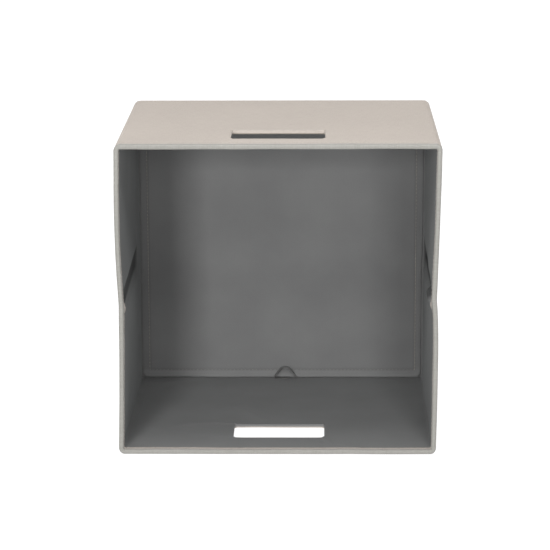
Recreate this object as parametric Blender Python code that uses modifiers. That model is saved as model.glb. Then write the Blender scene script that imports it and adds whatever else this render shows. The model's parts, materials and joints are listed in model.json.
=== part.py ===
"""Collapsible fabric storage box, lying on one of its two slotted walls.

The open side faces -Y, the base is at +Y, +Z is up, and the origin is under the middle of the box.
Each wall is a sandwich: outer cloth, stiffening board, lining. The left and right walls are split at
mid-height by a crease, so that they fold inwards and the upper wall comes down on the lower one.
All lengths are metres and all angles are degrees.
"""

import math

import bmesh
import bpy
from mathutils import Matrix, Vector

# Overall size
WIDTH = 0.320
HEIGHT = 0.315
DEPTH = 0.2853

# Layers of a wall, counted inwards from its outer face
CLOTH = 0.0006
BOARD = 0.0020
LINING = 0.0005
GAP = 0.0003
BOARD_AT = CLOTH + GAP
LINING_AT = BOARD_AT + BOARD + GAP
WALL = LINING_AT + LINING

# Hem round the open rim: the cloth turned over the wall's front edge
HEM_THICKNESS = 0.0048
HEM_OUTER_LEG = 0.0120
HEM_INNER_LEG = 0.0095
HEM_ROUND = 0.0015
RIM_COVER = 0.0012

# Corners and fold lines
CORNER_ROUND = 0.0057
FOLD_INSET = 0.0026
CREASE_OUTSET = 0.0003
CREASE_STRIP = 0.0030
CREASE_BOARD_GAP = 0.0060
BOARD_MARGIN = 0.0052
LINING_MARGIN = 0.0018

# Hand slots
SLOT_LENGTH = 0.0935
SLOT_WIDTH = 0.0470
SLOT_ROUND = 0.0040
SLOT_FROM_RIM = {"lower": 0.0480, "upper": 0.0360}

# Base: outer cloth, lining, and the loose insert in front of them
SKIRT_FRONT = 0.0052
INSERT_MARGIN = 0.0055
INSERT_FLANGE = 0.0070
SLEEVE = 0.0004
LOOP_WIDTH = 0.0090
LOOP_FOOT = 0.0125
LOOP_APEX = 0.0036
LOOP_RISE = 0.0105
LOOP_OFFSET = 0.0035
RIBBON = 0.0007

# Places worked out from the sizes above
HALF = WIDTH / 2
FRONT = -DEPTH / 2
REAR = DEPTH / 2
MIDDLE = HEIGHT / 2
FOLD = WALL + FOLD_INSET
BASE_LINING_AT = REAR - CLOTH - GAP
BACK_SLEEVE_AT = BASE_LINING_AT - SLEEVE - GAP
INSERT_BOARD_AT = BACK_SLEEVE_AT - SLEEVE - GAP
FRONT_SLEEVE_AT = INSERT_BOARD_AT - BOARD - GAP
INSERT_FACE = FRONT_SLEEVE_AT - SLEEVE
WALL_REAR = INSERT_FACE - 0.0005

# Finishes: colour, roughness
FINISHES = {
    "outer_cloth": ((0.50, 0.45, 0.40), 0.90),
    "lining_cloth": ((0.15, 0.15, 0.145), 0.75),
    "greyboard": ((0.36, 0.33, 0.29), 0.85),
    "ribbon": ((0.13, 0.13, 0.125), 0.70),
}


class Wall:
    """One wall plane. s runs along the wall, y is depth, and d is depth below its outer face."""

    def __init__(self, origin, along, inward):
        self.origin, self.along, self.inward = Vector(origin), Vector(along), Vector(inward)

    def at(self, s, y, d):
        return self.origin + self.along * s + self.inward * d + Vector((0, y, 0))


WALLS = {
    "lower": Wall((0, 0, 0), (1, 0, 0), (0, 0, 1)),
    "upper": Wall((0, 0, HEIGHT), (1, 0, 0), (0, 0, -1)),
    "left": Wall((-HALF, 0, 0), (0, 0, 1), (1, 0, 0)),
    "right": Wall((HALF, 0, 0), (0, 0, 1), (-1, 0, 0)),
}

# Each moving body: its parent and the point of its own joint
BODIES = {
    "lower_wall": (None, (0, 0, 0)),
    "left_lower": ("lower_wall", (-HALF + FOLD, 0, FOLD)),
    "left_upper": ("left_lower", (-HALF - CREASE_OUTSET, 0, MIDDLE)),
    "upper_wall": ("left_upper", (-HALF + FOLD, 0, HEIGHT - FOLD)),
    "right_lower": ("lower_wall", (HALF - FOLD, 0, FOLD)),
    "right_upper": ("right_lower", (HALF + CREASE_OUTSET, 0, MIDDLE)),
    "base_insert": ("lower_wall", (0, INSERT_FACE, INSERT_MARGIN)),
}


def clear_scene():
    for obj in list(bpy.data.objects):
        bpy.data.objects.remove(obj, do_unlink=True)


def new_collection(name, hidden=False):
    collection = bpy.data.collections.new(name)
    bpy.context.scene.collection.children.link(collection)
    collection.hide_render = hidden
    return collection


def finish_for(name, kind):
    """The piece's own material, in the colour and roughness of its kind."""
    colour, roughness = FINISHES[kind]
    material = bpy.data.materials.new(f"{name}_{kind}")
    material.use_nodes = True
    shader = material.node_tree.nodes["Principled BSDF"]
    shader.inputs["Base Color"].default_value = (*colour, 1.0)
    shader.inputs["Roughness"].default_value = roughness
    shader.inputs["Metallic"].default_value = 0.0
    return material


def piece(name, bm, kind, body):
    """An object from a bmesh, with its material, in the parts collection and on its body's empty."""
    mesh = bpy.data.meshes.new(name)
    bm.to_mesh(mesh)
    bm.free()
    obj = bpy.data.objects.new(name, mesh)
    obj.data.materials.append(finish_for(name, kind))
    PARTS.objects.link(obj)
    ride(obj, body)
    return obj


def ride(obj, body):
    """The object's origin goes to its body's joint, and the body's empty becomes its parent."""
    empty = EMPTIES[body]
    place = Vector(BODIES[body][1])
    obj.data.transform(Matrix.Translation(-place))
    obj.parent = empty


def block(x, y, z):
    """A bmesh box between two numbers on each axis."""
    bm = bmesh.new()
    bmesh.ops.create_cube(bm, size=1.0)
    size = [high - low for low, high in (x, y, z)]
    centre = [(low + high) / 2 for low, high in (x, y, z)]
    bmesh.ops.transform(bm, matrix=Matrix.Diagonal((*size, 1.0)), verts=bm.verts)
    bmesh.ops.translate(bm, vec=centre, verts=bm.verts)
    return bm


def round_edges(bm, axis, radius, segments=4):
    """Rounds the edges of a box that run along one axis: 0 for X, 1 for Y, 2 for Z."""
    others = [k for k in range(3) if k != axis]
    edges = [
        edge
        for edge in bm.edges
        if all(abs(edge.verts[0].co[k] - edge.verts[1].co[k]) < 1e-7 for k in others)
    ]
    bmesh.ops.bevel(
        bm, geom=edges, offset=radius, offset_type="OFFSET", segments=segments, profile=0.5,
        affect="EDGES",
    )


def layer(name, wall, s, y, d, kind, body):
    """A flat rectangular layer of one wall."""
    low, high = (WALLS[wall].at(s[k], y[k], d[k]) for k in (0, 1))
    spans = [sorted((low[k], high[k])) for k in range(3)]
    return piece(name, block(*spans), kind, body)


def swept(name, path, sweep, out, thickness, kind, body):
    """A sheet that follows a path, swept along a vector. Its outer side, where out points from the
    widest face, carries the path, and its thickness goes inwards."""
    bm = bmesh.new()
    verts = [bm.verts.new(point) for point in path]
    edges = [bm.edges.new(pair) for pair in zip(verts, verts[1:])]
    made = bmesh.ops.extrude_edge_only(bm, edges=edges)["geom"]
    moved = [item for item in made if isinstance(item, bmesh.types.BMVert)]
    bmesh.ops.translate(bm, vec=sweep, verts=moved)
    bmesh.ops.recalc_face_normals(bm, faces=bm.faces)
    bm.normal_update()
    widest = max(bm.faces, key=lambda face: face.calc_area())
    if widest.normal.dot(out) < 0:
        bmesh.ops.reverse_faces(bm, faces=bm.faces)
    obj = piece(name, bm, kind, body)
    solidify = obj.modifiers.new("thickness", "SOLIDIFY")
    solidify.thickness = thickness
    solidify.offset = -1.0
    solidify.use_even_offset = True
    return obj


def arc(centre, radius, start, end, steps=4):
    """Points of an arc in a plane, both ends included."""
    turns = [math.radians(start + (end - start) * k / steps) for k in range(steps + 1)]
    return [(centre[0] + radius * math.cos(a), centre[1] + radius * math.sin(a)) for a in turns]


def boolean(obj, operation, cutter):
    modifier = obj.modifiers.new(f"{operation.lower()}_{cutter.name}", "BOOLEAN")
    modifier.operation = operation
    modifier.solver = "EXACT"
    modifier.object = cutter


def cutter(name, bm):
    mesh = bpy.data.meshes.new(name)
    bm.to_mesh(mesh)
    bm.free()
    obj = bpy.data.objects.new(name, mesh)
    obj.hide_render = True
    obj.display_type = "WIRE"
    CUTTERS.objects.link(obj)
    return obj


def slot_block(side, z, grow=0.0):
    """A rounded upright block of a wall's hand slot outline, larger by grow on each side."""
    x = (-SLOT_LENGTH / 2 - grow, SLOT_LENGTH / 2 + grow)
    front = FRONT + SLOT_FROM_RIM[side]
    bm = block(x, (front - grow, front + SLOT_WIDTH + grow), z)
    round_edges(bm, 2, SLOT_ROUND + grow)
    return bm


def slotted_wall(side, body):
    """The lower or upper wall: cloth with turned-up corners, board and lining, all with a hand slot."""
    wall = WALLS[side]
    lip = FOLD - GAP
    left_round = arc((-HALF + CORNER_ROUND, CORNER_ROUND), CORNER_ROUND, 180, 270)
    right_round = arc((HALF - CORNER_ROUND, CORNER_ROUND), CORNER_ROUND, 270, 360)
    outline = [(-HALF, lip), *left_round, *right_round, (HALF, lip)]
    cover_front = FRONT + HEM_OUTER_LEG + GAP
    path = [wall.at(s, cover_front, d) for s, d in outline]
    cover = swept(
        f"{side}_cover", path, (0, WALL_REAR - cover_front, 0), -wall.inward, CLOTH,
        "outer_cloth", body,
    )
    half_board = HALF - BOARD_MARGIN
    board = layer(
        f"{side}_board", side, (-half_board, half_board), (FRONT + RIM_COVER, WALL_REAR - 0.001),
        (BOARD_AT, BOARD_AT + BOARD), "greyboard", body,
    )
    half_lining = HALF - LINING_MARGIN
    lining = layer(
        f"{side}_lining", side, (-half_lining, half_lining), (FRONT + RIM_COVER, WALL_REAR),
        (LINING_AT, WALL), "lining_cloth", body,
    )
    hem(side, side, (-HALF, HALF), body, CORNER_ROUND)
    for sheet, grow in ((cover, CLOTH + GAP), (board, CLOTH + 2 * GAP), (lining, CLOTH + GAP)):
        boolean(sheet, "DIFFERENCE", SLOT_CUTTERS[side, grow])
    facing_z = sorted((wall.at(0, 0, GAP).z, wall.at(0, 0, WALL + GAP).z))
    facing = piece(f"{side}_slot_facing", slot_block(side, facing_z, CLOTH), "lining_cloth", body)
    boolean(facing, "DIFFERENCE", SLOT_CUTTERS[side, 0.0])


def hem(name, side, s, body, ends_round=0.0):
    """The cloth turned over a wall panel's front edge, as a rounded U open to the rear."""
    wall = WALLS[side]
    outer = arc((FRONT + HEM_ROUND, HEM_ROUND), HEM_ROUND, 270, 180)
    inner = arc((FRONT + HEM_ROUND, HEM_THICKNESS - HEM_ROUND), HEM_ROUND, 180, 90)
    outline = [
        (FRONT + HEM_OUTER_LEG, 0.0), *outer, *inner, (FRONT + HEM_INNER_LEG, HEM_THICKNESS),
    ]
    path = [wall.at(s[0], y, d) for y, d in outline]
    sweep = wall.along * (s[1] - s[0])
    obj = swept(f"{name}_hem", path, sweep, -wall.inward, CLOTH, "outer_cloth", body)
    if ends_round:
        boolean(obj, "INTERSECT", ENVELOPE)


def folding_wall(side):
    """The left or right wall: two panels, with a crease strip between them at mid-height."""
    halves = {
        "lower": (FOLD, MIDDLE, -1),
        "upper": (MIDDLE, HEIGHT - FOLD, 1),
    }
    cloth_gap = CREASE_STRIP / 2 + GAP
    for half, (start, end, facing) in halves.items():
        body = f"{side}_{half}"

        def span(at_corner, at_crease):
            """The panel's length, drawn back from the corner and from the crease."""
            if facing < 0:
                return (start + at_corner, end - at_crease)
            return (start + at_crease, end - at_corner)

        layer(
            f"{body}_cover", side, span(0, cloth_gap), (FRONT + HEM_OUTER_LEG + GAP, WALL_REAR),
            (0, CLOTH), "outer_cloth", body,
        )
        layer(
            f"{body}_board", side, span(0.001, CREASE_BOARD_GAP / 2),
            (FRONT + RIM_COVER, WALL_REAR - 0.001), (BOARD_AT, BOARD_AT + BOARD), "greyboard", body,
        )
        layer(
            f"{body}_lining", side, span(0, GAP / 2), (FRONT + RIM_COVER, WALL_REAR),
            (LINING_AT, WALL), "lining_cloth", body,
        )
        hem(body, side, span(0, GAP / 2), body)
    half_strip = CREASE_STRIP / 2
    layer(
        f"{side}_crease_strip", side, (MIDDLE - half_strip, MIDDLE + half_strip),
        (FRONT + HEM_OUTER_LEG + GAP, WALL_REAR), (0, CLOTH), "outer_cloth", f"{side}_lower",
    )


def base():
    """The base's outer cloth, a shallow tray round the walls' rear edges, and its lining."""
    bm = block((-HALF, HALF), (REAR - SKIRT_FRONT, REAR), (0, HEIGHT))
    round_edges(bm, 1, CORNER_ROUND)
    front = min(bm.faces, key=lambda face: face.calc_center_median().y)
    bmesh.ops.delete(bm, geom=[front], context="FACES")
    tray = piece("base_cloth", bm, "outer_cloth", "lower_wall")
    solidify = tray.modifiers.new("thickness", "SOLIDIFY")
    solidify.thickness = CLOTH
    solidify.offset = -1.0
    solidify.use_even_offset = True

    inset = CLOTH + GAP
    bm = block(
        (-HALF + inset, HALF - inset), (BASE_LINING_AT - SLEEVE, BASE_LINING_AT),
        (inset, HEIGHT - inset),
    )
    round_edges(bm, 1, CORNER_ROUND - inset)
    piece("base_lining", bm, "lining_cloth", "lower_wall")


def insert():
    """The loose base board in its sewn sleeve, with a ribbon loop to lift it out by."""
    outer = HALF - INSERT_MARGIN
    low, high = INSERT_MARGIN, HEIGHT - INSERT_MARGIN
    for name, rear in (("insert_back_sleeve", BACK_SLEEVE_AT), ("insert_front_sleeve", FRONT_SLEEVE_AT)):
        bm = block((-outer, outer), (rear - SLEEVE, rear), (low, high))
        round_edges(bm, 1, CORNER_ROUND)
        piece(name, bm, "lining_cloth", "base_insert")
    inner = outer - INSERT_FLANGE
    bm = block(
        (-inner, inner), (INSERT_BOARD_AT - BOARD, INSERT_BOARD_AT),
        (low + INSERT_FLANGE, high - INSERT_FLANGE),
    )
    piece("insert_board", bm, "greyboard", "base_insert")

    loop_rear = INSERT_FACE - GAP
    outline = [
        (-LOOP_FOOT, 0.0), (-LOOP_APEX, LOOP_RISE), (LOOP_APEX, LOOP_RISE), (LOOP_FOOT, 0.0),
    ]
    path = [(x + LOOP_OFFSET, loop_rear, low + z) for x, z in outline]
    swept(
        "pull_loop", path, (0, -LOOP_WIDTH, 0), Vector((0, 0, 1)), RIBBON, "ribbon", "base_insert"
    )


def make_empties():
    """One empty for each body, on that body's joint, with the bodies' own parents."""
    made = {}
    for name, (parent, place) in BODIES.items():
        empty = bpy.data.objects.new(f"{name}_joint", None)
        empty.empty_display_size = 0.02
        PARTS.objects.link(empty)
        empty.location = Vector(place)
        if parent:
            empty.parent = made[parent]
            empty.location = Vector(place) - Vector(BODIES[parent][1])
        made[name] = empty
    return made


clear_scene()
PARTS = new_collection("fabric_storage_box")
CUTTERS = new_collection("cutters", hidden=True)
EMPTIES = make_empties()
ENVELOPE_BLOCK = block((-HALF, HALF), (FRONT - 0.01, REAR + 0.01), (0, HEIGHT))
round_edges(ENVELOPE_BLOCK, 1, CORNER_ROUND)
ENVELOPE = cutter("rounded_envelope", ENVELOPE_BLOCK)
SLOT_CUTTERS = {
    (side, grow): cutter(f"{side}_slot_{round(grow * 1e4):02d}", slot_block(side, (-0.01, HEIGHT + 0.01), grow))
    for side in SLOT_FROM_RIM
    for grow in (0.0, CLOTH + GAP, CLOTH + 2 * GAP)
}
slotted_wall("lower", "lower_wall")
slotted_wall("upper", "upper_wall")
folding_wall("left")
folding_wall("right")
base()
insert()
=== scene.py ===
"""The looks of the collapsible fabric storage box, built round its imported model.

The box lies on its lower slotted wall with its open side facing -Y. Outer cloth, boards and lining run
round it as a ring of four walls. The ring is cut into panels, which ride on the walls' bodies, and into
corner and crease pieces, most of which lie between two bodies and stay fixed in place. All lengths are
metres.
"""

import json
import math

import bmesh
import bpy
from mathutils import Matrix, Vector, noise


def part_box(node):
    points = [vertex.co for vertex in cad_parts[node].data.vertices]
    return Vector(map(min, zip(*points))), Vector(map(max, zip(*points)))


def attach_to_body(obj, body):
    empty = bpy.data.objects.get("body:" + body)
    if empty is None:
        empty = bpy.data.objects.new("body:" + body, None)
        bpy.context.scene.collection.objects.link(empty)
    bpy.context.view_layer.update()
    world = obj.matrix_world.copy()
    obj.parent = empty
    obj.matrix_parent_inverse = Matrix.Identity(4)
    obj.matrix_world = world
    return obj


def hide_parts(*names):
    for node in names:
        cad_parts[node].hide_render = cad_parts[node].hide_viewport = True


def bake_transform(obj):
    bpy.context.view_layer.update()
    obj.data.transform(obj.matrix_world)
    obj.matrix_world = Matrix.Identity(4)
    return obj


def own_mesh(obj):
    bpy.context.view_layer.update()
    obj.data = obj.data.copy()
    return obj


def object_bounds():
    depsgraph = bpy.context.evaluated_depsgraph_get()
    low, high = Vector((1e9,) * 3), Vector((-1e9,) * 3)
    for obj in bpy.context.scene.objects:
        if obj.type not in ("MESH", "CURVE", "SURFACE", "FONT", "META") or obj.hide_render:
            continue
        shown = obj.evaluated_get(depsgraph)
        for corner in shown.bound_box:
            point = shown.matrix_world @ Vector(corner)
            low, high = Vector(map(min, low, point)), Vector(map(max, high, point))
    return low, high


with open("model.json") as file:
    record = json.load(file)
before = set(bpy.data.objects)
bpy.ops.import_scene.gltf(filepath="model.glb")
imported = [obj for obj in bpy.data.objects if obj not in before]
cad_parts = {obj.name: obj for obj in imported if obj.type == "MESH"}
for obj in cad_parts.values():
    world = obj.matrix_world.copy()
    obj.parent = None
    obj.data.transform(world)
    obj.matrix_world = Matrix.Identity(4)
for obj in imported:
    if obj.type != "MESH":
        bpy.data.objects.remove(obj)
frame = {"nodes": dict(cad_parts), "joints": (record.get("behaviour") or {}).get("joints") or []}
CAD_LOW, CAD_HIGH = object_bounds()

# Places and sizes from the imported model
HALF = CAD_HIGH.x
HEIGHT = CAD_HIGH.z
FRONT = CAD_LOW.y
REAR = CAD_HIGH.y
MIDDLE = HEIGHT / 2
JOINTS = {joint["name"]: joint for joint in frame["joints"]}
FOLD = JOINTS["box_fold"]["pos_m"][2]
BOARD_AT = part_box("lower_board")[0].z
BOARD_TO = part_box("lower_board")[1].z
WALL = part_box("lower_lining")[1].z
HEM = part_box("lower_hem")[1].z
WALL_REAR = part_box("lower_lining")[1].y
SLOTS = {side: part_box(f"{side}_slot_facing") for side in ("lower", "upper")}
INSERT_LOW, INSERT_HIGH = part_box("insert_front_sleeve")
BACK_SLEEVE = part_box("insert_back_sleeve")[0].y
LOOP_LOW, LOOP_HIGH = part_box("pull_loop")
BASE_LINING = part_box("base_lining")[0].y

# Cloth
CLOTH = 0.0006
LINING = 0.0005
SLEEVE = 0.0004
TURNED_CLOTH = 0.0004
TAPE = 0.0006
INNER_LEG = 0.0095
STITCH_LINE = 0.0115
STITCH_DIP = 0.00035
LINING_START = 0.0035
RIM_ROUND = 0.0019
BASE_ROUND = 0.0032
SEAM = REAR - 0.0054

# How the ring is cut, and how fine its pieces' grids are
CORNER_REACH = 0.0055
OPEN_CORNER_REACH = 0.0015
CREASE_REACH = 0.0220
CREASE_TURN = 0.0080
NEST = 0.0009
CORNER_CELL = 0.0011
CREASE_CELL = 0.0014
LINING_CELL = 0.0032

# Hand slots: the corner's radius, the steps across half a corner, and how far the sheets stand back
SLOT_ROUND = 0.0022
ROUND_STEPS = 3
SLOT_EASE = 0.0006

# The heights between which each side wall has no board, clear of its crease and of the lining's fold
BOARD_GAPS = {"left": (0.1270, 0.1740), "right": (0.1230, 0.1735)}

# The insert's sewn flange, and half the width of the pull loop's flat top
INSERT_FLANGE = 0.0070
LOOP_FLAT = 0.0036

# Side walls: the height of the crease, how far it leans in at the rim, and how each panel bows
KINKS = {
    "left": {"z": 0.1530, "lean": 0.0024, "upper": (3.2, -0.0009), "lower": (0.9, 0.0004)},
    "right": {"z": 0.1590, "lean": 0.0024, "upper": (1.4, 0.0), "lower": (7.0, -0.0003)},
}

# How far out of square the right side stands at the rim, at its foot and at its top
RACK = (-0.0019, 0.0016)

# How far the lining may sink without reaching the outer cloth
DEEPEST = -0.0026

# The lining's fold along each crease: where it runs in y and how it fades, and how deep its groove is.
# At its front and back: the lip's z, the groove's width, how far the lip stands out, and how strong the
# painted shade in the fold is.
CREASE_FOLDS = {
    "left": {
        "y": (-0.110, 0.070), "fade": (0.015, 0.030), "z": (0.1655, 0.1685), "band": (0.0220, 0.0310),
        "lip": (0.0008, 0.0012), "groove": 0.0024, "dim": (0.66, 0.74),
    },
    "right": {
        "y": (-0.118, 0.126), "fade": (0.010, 0.012), "z": (0.1645, 0.1705), "band": (0.0260, 0.0350),
        "lip": (0.0006, 0.0008), "groove": 0.0026, "dim": (0.60, 0.88),
    },
}


def smooth(x):
    """0 below 0, 1 above 1, and a smooth step between."""
    x = min(1.0, max(0.0, x))
    return x * x * (3 - 2 * x)


def mix(a, b, share):
    return a + (b - a) * share


def noise_at(*point, size=0.05, seed=0.0):
    """Smooth noise from -1 to 1, about one swing in each size."""
    scaled = Vector([value / size for value in (*point, 0.0, 0.0)[:3]])
    return noise.noise(scaled + Vector((seed, 3.7 * seed, -1.3 * seed)))


def ridge(p, a, b, width, height):
    """The height at p of a soft ridge from a to b, which dies out at both ends."""
    p, a, b = Vector(p), Vector(a), Vector(b)
    run = b - a
    share = (p - a).dot(run) / run.length_squared
    nearest = a + run * min(1.0, max(0.0, share))
    ends = smooth((share + 0.25) / 0.45) * smooth((1.25 - share) / 0.45)
    return height * ends * math.exp(-(((p - nearest).length / width) ** 2))


# The ring: lower wall, right, upper, left, travelling anticlockwise as seen from the open side


def ring_stretches():
    """Each stretch as (start, length, side or None at a corner, start point or centre, heading)."""
    sides = (
        ("lower", (-HALF + FOLD, 0), (HALF - FOLD, FOLD)),
        ("right", (HALF, FOLD), (HALF - FOLD, HEIGHT - FOLD)),
        ("upper", (HALF - FOLD, HEIGHT), (-HALF + FOLD, HEIGHT - FOLD)),
        ("left", (-HALF, HEIGHT - FOLD), (-HALF + FOLD, FOLD)),
    )
    stretches = []
    at = -(HALF - FOLD)
    for turn, (side, start, centre) in enumerate(sides):
        flat = HEIGHT - 2 * FOLD if side in KINKS else 2 * (HALF - FOLD)
        for length, name, place in ((flat, side, start), (FOLD * math.pi / 2, None, centre)):
            stretches.append((at, length, name, Vector(place), turn * 90.0))
            at += length
    return stretches, at + HALF - FOLD


STRETCHES, PERIMETER = ring_stretches()
START = {stretch[2]: stretch[0] for stretch in STRETCHES if stretch[2]}
END = {stretch[2]: stretch[0] + stretch[1] for stretch in STRETCHES if stretch[2]}


def heading_vectors(degrees):
    """The direction of travel and the inward direction, as (x, z)."""
    turn = math.radians(degrees)
    return Vector((math.cos(turn), math.sin(turn))), Vector((-math.sin(turn), math.cos(turn)))


def ring(s, depth):
    """The side and the (x, z) point at s along the ring, depth below its outer face."""
    for start, length, side, point, heading in STRETCHES:
        if s <= start + length + 1e-9:
            break
    if side:
        travel, inward = heading_vectors(heading)
        return side, point + travel * (s - start) + inward * depth
    inward = heading_vectors(heading + 90.0 * (s - start) / length)[1]
    return side, point - inward * (FOLD - depth)


def toward_rim(y):
    """1 at the rim, falling to 0 at the base."""
    return min(1.0, max(0.0, (WALL_REAR - y) / (WALL_REAR - FRONT)))


def lean(side, z, y):
    """How far a side wall leans in, from its crease at the rim to nothing at its corners."""
    if side not in KINKS:
        return 0.0
    kink = KINKS[side]
    if z > kink["z"]:
        share = (HEIGHT - FOLD - z) / (HEIGHT - FOLD - kink["z"])
        power, bow = kink["upper"]
    else:
        share = (z - FOLD) / (kink["z"] - FOLD)
        power, bow = kink["lower"]
    share = min(1.0, max(0.0, share))
    depth = kink["lean"] * share**power + bow * math.sin(math.pi * share)
    return depth * mix(0.12, 1.0, toward_rim(y) ** 1.3)


def rack(x, y, z):
    """The x of a point once the box is pushed out of square to the right."""
    if x <= 0:
        return x
    return x + x / HALF * mix(*RACK, z / HEIGHT) * mix(0.6, 1.0, toward_rim(y))


def crease_place(side, z, y):
    """How far back along a crease's fold y is, how many bands below its lip z is, and its strength."""
    fold = CREASE_FOLDS[side]
    near, far = fold["y"]
    back = min(1.0, max(0.0, (y - near) / (far - near)))
    below = (mix(*fold["z"], back) - z) / mix(*fold["band"], back)
    strength = smooth((y - near) / fold["fade"][0] + 1) * smooth((far - y) / fold["fade"][1] + 1)
    return back, below, strength


def crease_fold(side, z, y):
    """The lining's fold along a crease: a lip above a groove, with a band that rises out of it below."""
    fold = CREASE_FOLDS[side]
    back, below, strength = crease_place(side, z, y)
    lip = mix(*fold["lip"], back) * (1 + 0.2 * noise_at(y, size=0.03, seed=5))
    groove = fold["groove"] * mix(0.5, 1.0, back)
    if below < 0:
        height = lip * math.exp(below * mix(*fold["band"], back) / 0.015)
    elif below < 1:
        height = mix(lip, -groove, 1 - (1 - below) ** 2)
    else:
        height = mix(-groove, 0.0, smooth((below - 1) / 0.3))
    return height * strength


def in_fold(point):
    """How much painted shade a point of the lining gets in a crease's fold, from 0 to 1."""
    if abs(point.x) < HALF - 0.02:
        return 0.0
    side = "left" if point.x < 0 else "right"
    back, below, strength = crease_place(side, point.z, point.y)
    # Painted shade: the colour of the lining is darkened by this much in the fold.
    dim = mix(*CREASE_FOLDS[side]["dim"], back)
    return dim * strength * smooth((below + 0.02) / 0.07) * smooth((1.1 - below) / 0.35)


# Ridges in the lining of the side walls, from (y, z) to (y, z), with their width and height
RIM = FRONT + 0.004
PUCKERS = {
    "left": (
        ((RIM, 0.1470), (FRONT + 0.060, 0.1500), 0.0028, 0.0014),
        ((RIM, 0.1500), (RIM + 0.008, 0.1505), 0.0040, 0.0012),
        ((RIM, 0.1390), (FRONT + 0.050, 0.1330), 0.0035, 0.0006),
    ),
    "right": (
        ((RIM, 0.1525), (RIM + 0.012, 0.1530), 0.0034, 0.0022),
        ((RIM + 0.012, 0.1545), (-0.098, 0.1600), 0.0034, 0.0058),
        ((-0.100, 0.1400), (-0.040, 0.1330), 0.0040, 0.0012),
        ((0.1080, 0.1520), (0.1300, 0.1540), 0.0060, -0.0024),
    ),
}


def side_relief(side, z, y):
    """The lining's fold, its puckers by the rim and its loose cloth, on the left or right wall."""
    edge = smooth((z - 0.010) / 0.030) * smooth((HEIGHT - 0.010 - z) / 0.030)
    loose = 0.0005 * noise_at(z, y, size=0.055, seed=11 if side == "left" else 23)
    relief = crease_fold(side, z, y) + loose
    for a, b, width, height in PUCKERS[side]:
        relief += ridge((y, z), a, b, width, height)
    return max(relief * edge, DEEPEST)


def flat_relief(side, x, y):
    """The loose lining of the lower or upper wall, with the creases that run from its hand slot."""
    edge = smooth((HALF - 0.010 - abs(x)) / 0.025) * smooth((WALL_REAR - y) / 0.020)
    seed = 31 if side == "lower" else 47
    relief = 0.00055 * noise_at(x, y, size=0.075, seed=seed)
    relief += 0.0002 * noise_at(x, y, size=0.028, seed=seed)
    low, high = SLOTS[side]
    left = (low.x, high.y)
    right = (high.x, low.y)
    rising = (
        (left, (-0.068, -0.042), 0.0045, 0.0010),
        ((-0.068, -0.042), (-0.108, -0.053), 0.0060, 0.0009),
        ((low.x, low.y), (-0.135, -0.066), 0.0090, 0.0006),
        ((-0.045, 0.016), (-0.018, -0.030), 0.0070, 0.0009),
        ((-0.018, -0.030), (0.040, -0.033), 0.0060, 0.0005),
        (right, (0.053, FRONT + 0.020), 0.0028, 0.0012),
        ((0.053, FRONT + 0.020), (0.072, FRONT + 0.014), 0.0026, 0.0009),
        ((0.044, FRONT + 0.031), (0.050, FRONT + 0.019), 0.0022, -0.0006),
    )
    aside = max(abs(x) - high.x, low.y - y, y - high.y)
    relief *= mix(0.2, 1.0, smooth(aside / 0.012))
    mirror = 1 if side == "lower" else -1
    for a, b, width, height in rising:
        relief += ridge((mirror * x, y), a, b, width, height)
    relief *= edge
    if side == "lower":
        relief += ridge((x, y), (-0.150, 0.108), (-0.088, WALL_REAR - 0.004), 0.0110, 0.0019)
        relief += 0.0004 * smooth((y - 0.09) / 0.04)
    return relief


def relief(side, along, y):
    """How far the inner cloth stands out from its plane."""
    if side is None:
        return 0.0
    return (side_relief if side in KINKS else flat_relief)(side, along, y)


def skin_point(s, y, depth, inner=None):
    """A point of the walls at s along the ring. inner is how much of the lining's relief it takes."""
    if s > START["lower"] + PERIMETER:
        s -= PERIMETER
    side, flat = ring(s, 0.0)
    along = flat[1] if side in KINKS else flat[0]
    if inner is None:
        inner = smooth((depth / HEM - 0.35) / 0.5)
    inward = depth + lean(side, along, y)
    if inner > 0:
        inward += inner * relief(side, along, y)
    if inner < 1 and side:
        inward += (1 - inner) * 0.00022 * noise_at(s, y, size=0.045, seed=3)
    x, z = ring(s, inward)[1]
    return Vector((rack(x, y, z), y, z))


# Mesh helpers


def arc(y, depth, radius, start, end, steps=4):
    """(y, depth) points of an arc, both ends included."""
    turns = [math.radians(mix(start, end, k / steps)) for k in range(steps + 1)]
    return [(y + radius * math.cos(a), depth + radius * math.sin(a)) for a in turns]


def steps_between(start, end, cell):
    """Even steps from start to end, both included, about one cell apart."""
    count = max(1, round(abs(end - start) / cell))
    return [mix(start, end, k / count) for k in range(count + 1)]


def with_breaks(values, breaks, cell):
    """The values with the breaks put in, and without the ones that lie close to a break."""
    kept = [v for v in values if min((abs(v - b) for b in breaks), default=1.0) > 0.35 * cell]
    return sorted([*kept, *breaks])


def linked(name, data):
    """A new object in the scene."""
    obj = bpy.data.objects.new(name, data)
    bpy.context.scene.collection.objects.link(obj)
    return obj


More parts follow.
